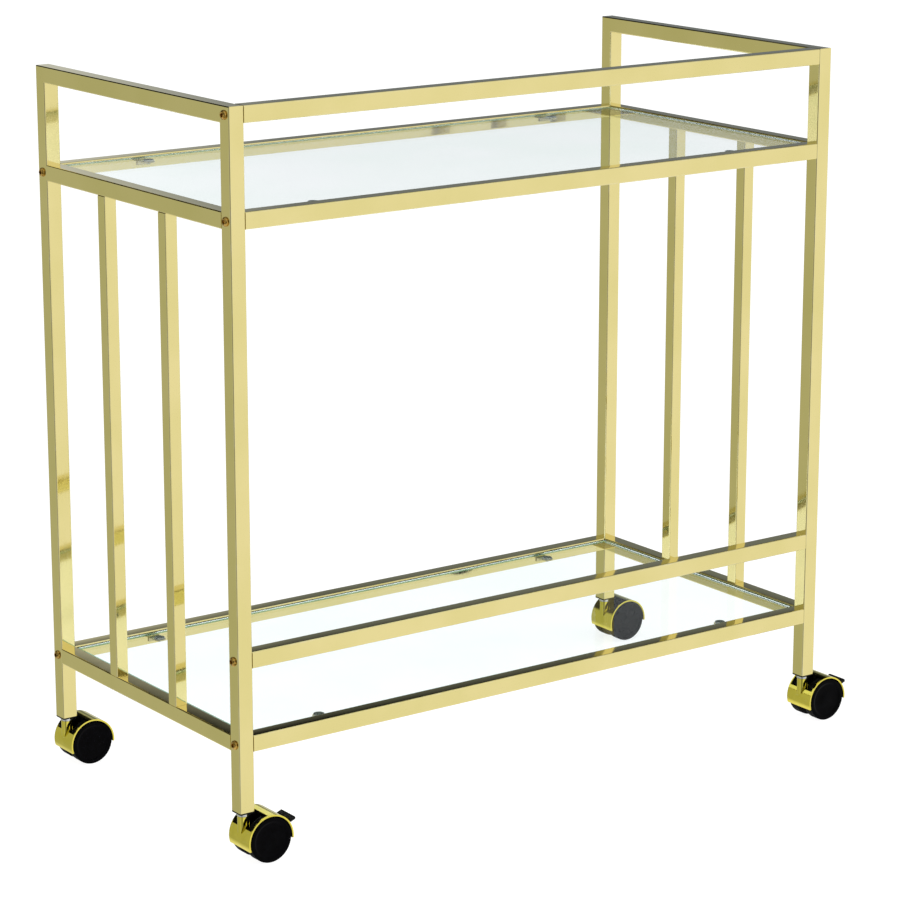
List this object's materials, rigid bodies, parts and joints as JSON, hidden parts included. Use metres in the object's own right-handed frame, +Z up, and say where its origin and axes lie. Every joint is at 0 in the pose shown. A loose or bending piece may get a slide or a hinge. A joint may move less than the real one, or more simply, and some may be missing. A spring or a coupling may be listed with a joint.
{
  "type": "bar cart on wheels",
  "caption": "Gold-tone square-tube bar cart with clear glass shelves, slatted side frames, a front guard rail and hooded twin-wheel swivel casters, the front ones with brake levers.",
  "frame": {"origin": "on the floor under the middle of the tube frame", "axes": "+X along the long rails, the way the casters trail; +Y from the guard-rail side to the open side; +Z up"},
  "size_m": [0.851, 0.416, 0.798],
  "materials": {
    "gold_frame": "polished gold-tone electroplated steel tube",
    "gold_hood": "bright gold-plated moulded hood",
    "bronze_bolt": "antique bronze plated",
    "zinc_steel": "bright zinc plated",
    "tab_metal": "plated pressed steel",
    "clear_glass": "clear tempered, polished edges",
    "clear_silicone": "soft clear silicone",
    "black_plastic": "moulded black nylon",
    "wheel_black": "smooth black nylon"
  },
  "bodies": {
    "frame": {"left_top_rail": "gold_frame", "left_upper_rail": "gold_frame", "left_lower_rail": "gold_frame", "left_front_post": "gold_frame", "left_front_slat": "gold_frame", "left_back_post": "gold_frame", "left_back_slat": "gold_frame", "right_top_rail": "gold_frame", "right_upper_rail": "gold_frame", "right_lower_rail": "gold_frame", "right_front_post": "gold_frame", "right_front_slat": "gold_frame", "right_back_post": "gold_frame", "right_back_slat": "gold_frame", "front_top_rail": "gold_frame", "front_upper_rail": "gold_frame", "front_guard_rail": "gold_frame", "front_lower_rail": "gold_frame", "back_upper_rail": "gold_frame", "back_lower_rail": "gold_frame", "rail_thread_blocks": "zinc_steel", "frame_bolts": "bronze_bolt", "upper_glass": "clear_glass", "lower_glass": "clear_glass", "upper_shelf_tabs": "tab_metal", "lower_shelf_tabs": "tab_metal", "upper_glass_pads": "clear_silicone", "lower_glass_pads": "clear_silicone", "stem_clips": "zinc_steel", "left_front_plug": "black_plastic", "left_front_stem": "zinc_steel", "left_back_plug": "black_plastic", "left_back_stem": "zinc_steel", "right_front_plug": "black_plastic", "right_front_stem": "zinc_steel", "right_back_plug": "black_plastic", "right_back_stem": "zinc_steel"},
    "left_front_caster": {"left_front_hood": "gold_hood", "left_front_axle": "zinc_steel", "left_front_brake_pin": "zinc_steel"},
    "left_front_front_wheel": {"left_front_front_wheel": "wheel_black"},
    "left_front_back_wheel": {"left_front_back_wheel": "wheel_black"},
    "left_back_caster": {"left_back_hood": "gold_hood", "left_back_axle": "zinc_steel"},
    "left_back_front_wheel": {"left_back_front_wheel": "wheel_black"},
    "left_back_back_wheel": {"left_back_back_wheel": "wheel_black"},
    "right_front_caster": {"right_front_hood": "gold_hood", "right_front_axle": "zinc_steel", "right_front_brake_pin": "zinc_steel"},
    "right_front_front_wheel": {"right_front_front_wheel": "wheel_black"},
    "right_front_back_wheel": {"right_front_back_wheel": "wheel_black"},
    "right_back_caster": {"right_back_hood": "gold_hood", "right_back_axle": "zinc_steel"},
    "right_back_front_wheel": {"right_back_front_wheel": "wheel_black"},
    "right_back_back_wheel": {"right_back_back_wheel": "wheel_black"},
    "left_front_brake_lever": {"left_front_brake_lever": "black_plastic"},
    "right_front_brake_lever": {"right_front_brake_lever": "black_plastic"}
  },
  "joints": [
    {"name": "left_front_swivel", "type": "hinge", "parent": "frame", "child": "left_front_caster", "pos_m": [-0.391, -0.188, 0.057], "axis": [0, 0, 1], "continuous": true},
    {"name": "left_front_front_wheel_roll", "type": "hinge", "parent": "left_front_caster", "child": "left_front_front_wheel", "pos_m": [-0.369, -0.188, 0.025], "axis": [0, 1, 0], "continuous": true},
    {"name": "left_front_back_wheel_roll", "type": "hinge", "parent": "left_front_caster", "child": "left_front_back_wheel", "pos_m": [-0.369, -0.188, 0.025], "axis": [0, 1, 0], "continuous": true},
    {"name": "left_back_swivel", "type": "hinge", "parent": "frame", "child": "left_back_caster", "pos_m": [-0.391, 0.188, 0.057], "axis": [0, 0, 1], "continuous": true},
    {"name": "left_back_front_wheel_roll", "type": "hinge", "parent": "left_back_caster", "child": "left_back_front_wheel", "pos_m": [-0.369, 0.188, 0.025], "axis": [0, 1, 0], "continuous": true},
    {"name": "left_back_back_wheel_roll", "type": "hinge", "parent": "left_back_caster", "child": "left_back_back_wheel", "pos_m": [-0.369, 0.188, 0.025], "axis": [0, 1, 0], "continuous": true},
    {"name": "right_front_swivel", "type": "hinge", "parent": "frame", "child": "right_front_caster", "pos_m": [0.391, -0.188, 0.057], "axis": [0, 0, 1], "continuous": true},
    {"name": "right_front_front_wheel_roll", "type": "hinge", "parent": "right_front_caster", "child": "right_front_front_wheel", "pos_m": [0.413, -0.188, 0.025], "axis": [0, 1, 0], "continuous": true},
    {"name": "right_front_back_wheel_roll", "type": "hinge", "parent": "right_front_caster", "child": "right_front_back_wheel", "pos_m": [0.413, -0.188, 0.025], "axis": [0, 1, 0], "continuous": true},
    {"name": "right_back_swivel", "type": "hinge", "parent": "frame", "child": "right_back_caster", "pos_m": [0.391, 0.188, 0.057], "axis": [0, 0, 1], "continuous": true},
    {"name": "right_back_front_wheel_roll", "type": "hinge", "parent": "right_back_caster", "child": "right_back_front_wheel", "pos_m": [0.413, 0.188, 0.025], "axis": [0, 1, 0], "continuous": true},
    {"name": "right_back_back_wheel_roll", "type": "hinge", "parent": "right_back_caster", "child": "right_back_back_wheel", "pos_m": [0.413, 0.188, 0.025], "axis": [0, 1, 0], "continuous": true},
    {"name": "left_front_brake", "type": "hinge", "parent": "left_front_caster", "child": "left_front_brake_lever", "pos_m": [-0.35354, -0.188, 0.03298], "axis": [0, 1, 0], "range_deg": [0, 18]},
    {"name": "right_front_brake", "type": "hinge", "parent": "right_front_caster", "child": "right_front_brake_lever", "pos_m": [0.42846, -0.188, 0.03298], "axis": [0, 1, 0], "range_deg": [0, 18]}
  ]
}
